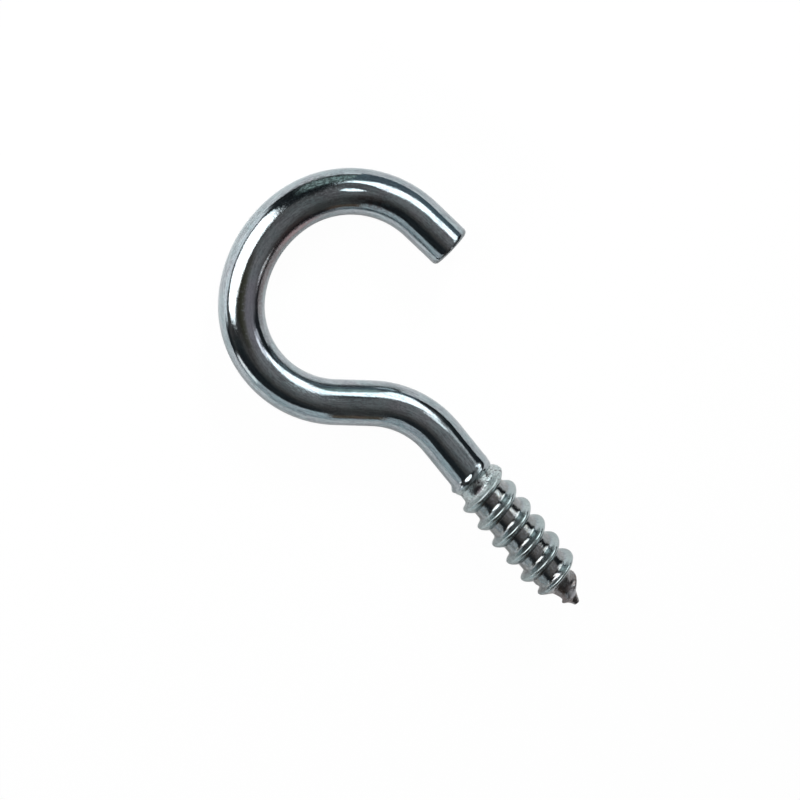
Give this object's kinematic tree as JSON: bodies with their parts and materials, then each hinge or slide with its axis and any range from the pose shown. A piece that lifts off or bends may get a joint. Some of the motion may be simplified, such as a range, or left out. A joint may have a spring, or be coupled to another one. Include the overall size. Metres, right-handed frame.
{
  "type": "screw hook",
  "caption": "Round-wire screw hook with a rolled wood-screw thread, a reverse bend and an open round bow for hanging things.",
  "frame": {"origin": "on the screw's axis at the shoulder, where the smooth shank ends and the thread begins", "axes": "+X along the screw's axis towards its tip; +Y in the plane of the bends, towards the side of the free end; +Z square to the plane of the bends"},
  "size_m": [0.0604, 0.0311, 0.0066],
  "materials": {
    "zinc_plate": "bright zinc plate, glossy, with a faint blue tint"
  },
  "bodies": {
    "root": {"screw_hook": "zinc_plate"}
  },
  "joints": []
}
